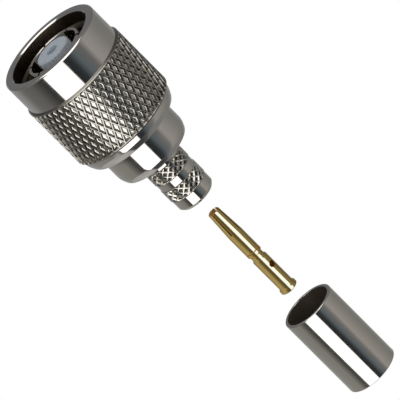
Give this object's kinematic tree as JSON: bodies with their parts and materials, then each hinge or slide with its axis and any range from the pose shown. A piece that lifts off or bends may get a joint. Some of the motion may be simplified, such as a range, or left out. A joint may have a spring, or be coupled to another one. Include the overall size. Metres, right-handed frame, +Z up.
{
  "type": "reverse-polarity threaded coaxial crimp plug",
  "caption": "Cable-end coaxial plug with knurled threaded coupling nut, socket centre contact and crimp ferrule, shown before crimping.",
  "frame": {"origin": "on the connector's axis, at the front face of the seal ring, where the barrel of the mating jack stops", "axes": "+X runs along the connector's axis from the mating end towards the cable; +Z is up and +Y completes the right-handed frame. The three pieces lie on the X axis, apart, as they are sold"},
  "size_m": [0.0595, 0.0146, 0.0146],
  "materials": {
    "nickel": "brass, nickel plated, satin",
    "nickel_bronze": "bronze, nickel plated, satin",
    "gold": "copper alloy, gold plated, bright",
    "white_insulator": "fluoropolymer, turned",
    "seal_rubber": "silicone rubber"
  },
  "bodies": {
    "connector_body": {"plug_body": "nickel", "outer_contact": "nickel_bronze", "insulator": "white_insulator", "seal_ring": "seal_rubber", "retaining_ring": "nickel_bronze"},
    "coupling_nut": {"coupling_nut": "nickel"},
    "centre_contact": {"centre_contact": "gold"},
    "crimp_ferrule": {"crimp_ferrule": "nickel"}
  },
  "joints": [
    {"name": "coupling_nut_turn", "type": "hinge", "parent": "connector_body", "child": "coupling_nut", "pos_m": [0, 0, 0], "axis": [1, 0, 0], "continuous": true},
    {"name": "centre_contact_insertion", "type": "slide", "parent": "connector_body", "child": "centre_contact", "axis": [-1, 0, 0], "range_m": [0, 0.02846]},
    {"name": "crimp_ferrule_slide", "type": "slide", "parent": "connector_body", "child": "crimp_ferrule", "axis": [-1, 0, 0], "range_m": [0, 0.02812]}
  ]
}
